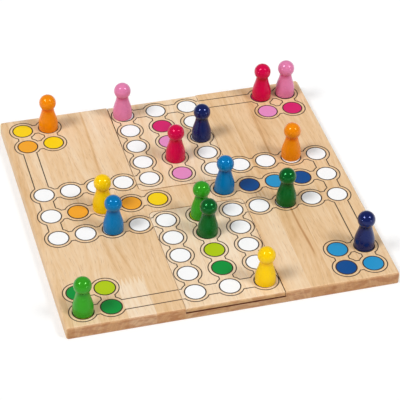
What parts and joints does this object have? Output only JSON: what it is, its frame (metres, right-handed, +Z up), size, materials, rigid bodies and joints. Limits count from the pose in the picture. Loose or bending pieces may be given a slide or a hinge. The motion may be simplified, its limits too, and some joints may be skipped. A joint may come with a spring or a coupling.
{
  "type": "ludo game",
  "caption": "Square wooden ludo board with two milled channels, a loose lid lying in each and turned wooden pawns standing on the fields.",
  "frame": {"origin": "under the middle of the board, on the surface that it lies on", "axes": "+X to the right, +Y to the back edge and +Z up, with the lids' channels along Y"},
  "size_m": [0.24, 0.24, 0.0395],
  "materials": {
    "board_wood": "satin",
    "lid_wood": "satin",
    "orange_lacquer": "gloss lacquer",
    "yellow_lacquer": "gloss lacquer",
    "crimson_lacquer": "gloss lacquer",
    "pink_lacquer": "gloss lacquer",
    "navy_lacquer": "gloss lacquer",
    "blue_lacquer": "gloss lacquer",
    "light_green_lacquer": "gloss lacquer",
    "dark_green_lacquer": "gloss lacquer"
  },
  "bodies": {
    "board": {"board_panel": "board_wood"},
    "front_lid": {"front_lid": "lid_wood"},
    "back_lid": {"back_lid": "lid_wood"},
    "orange_1": {"pawn_orange_1": "orange_lacquer"},
    "orange_2": {"pawn_orange_2": "orange_lacquer"},
    "yellow_1": {"pawn_yellow_1": "yellow_lacquer"},
    "yellow_2": {"pawn_yellow_2": "yellow_lacquer"},
    "crimson_1": {"pawn_crimson_1": "crimson_lacquer"},
    "crimson_2": {"pawn_crimson_2": "crimson_lacquer"},
    "pink_1": {"pawn_pink_1": "pink_lacquer"},
    "pink_2": {"pawn_pink_2": "pink_lacquer"},
    "navy_1": {"pawn_navy_1": "navy_lacquer"},
    "navy_2": {"pawn_navy_2": "navy_lacquer"},
    "blue_1": {"pawn_blue_1": "blue_lacquer"},
    "blue_2": {"pawn_blue_2": "blue_lacquer"},
    "light_green_1": {"pawn_light_green_1": "light_green_lacquer"},
    "light_green_2": {"pawn_light_green_2": "light_green_lacquer"},
    "dark_green_1": {"pawn_dark_green_1": "dark_green_lacquer"},
    "dark_green_2": {"pawn_dark_green_2": "dark_green_lacquer"}
  },
  "joints": [
    {"name": "front_lid_slide", "type": "slide", "parent": "board", "child": "front_lid", "axis": [0, -1, 0], "range_m": [0, 0.108]},
    {"name": "back_lid_slide", "type": "slide", "parent": "board", "child": "back_lid", "axis": [0, 1, 0], "range_m": [0, 0.108]},
    {"name": "orange_1_lift", "type": "slide", "parent": "board", "child": "orange_1", "axis": [0, 0, 1], "range_m": [0, 0.04]},
    {"name": "orange_2_lift", "type": "slide", "parent": "board", "child": "orange_2", "axis": [0, 0, 1], "range_m": [0, 0.04]},
    {"name": "yellow_1_lift", "type": "slide", "parent": "board", "child": "yellow_1", "axis": [0, 0, 1], "range_m": [0, 0.04]},
    {"name": "yellow_2_lift", "type": "slide", "parent": "front_lid", "child": "yellow_2", "axis": [0, 0, 1], "range_m": [0, 0.04]},
    {"name": "crimson_1_lift", "type": "slide", "parent": "board", "child": "crimson_1", "axis": [0, 0, 1], "range_m": [0, 0.04]},
    {"name": "crimson_2_lift", "type": "slide", "parent": "back_lid", "child": "crimson_2", "axis": [0, 0, 1], "range_m": [0, 0.04]},
    {"name": "pink_1_lift", "type": "slide", "parent": "board", "child": "pink_1", "axis": [0, 0, 1], "range_m": [0, 0.04]},
    {"name": "pink_2_lift", "type": "slide", "parent": "back_lid", "child": "pink_2", "axis": [0, 0, 1], "range_m": [0, 0.04]},
    {"name": "navy_1_lift", "type": "slide", "parent": "board", "child": "navy_1", "axis": [0, 0, 1], "range_m": [0, 0.04]},
    {"name": "navy_2_lift", "type": "slide", "parent": "back_lid", "child": "navy_2", "axis": [0, 0, 1], "range_m": [0, 0.04]},
    {"name": "blue_1_lift", "type": "slide", "parent": "board", "child": "blue_1", "axis": [0, 0, 1], "range_m": [0, 0.04]},
    {"name": "blue_2_lift", "type": "slide", "parent": "board", "child": "blue_2", "axis": [0, 0, 1], "range_m": [0, 0.04]},
    {"name": "light_green_1_lift", "type": "slide", "parent": "board", "child": "light_green_1", "axis": [0, 0, 1], "range_m": [0, 0.04]},
    {"name": "light_green_2_lift", "type": "slide", "parent": "front_lid", "child": "light_green_2", "axis": [0, 0, 1], "range_m": [0, 0.04]},
    {"name": "dark_green_1_lift", "type": "slide", "parent": "front_lid", "child": "dark_green_1", "axis": [0, 0, 1], "range_m": [0, 0.04]},
    {"name": "dark_green_2_lift", "type": "slide", "parent": "board", "child": "dark_green_2", "axis": [0, 0, 1], "range_m": [0, 0.04]}
  ]
}
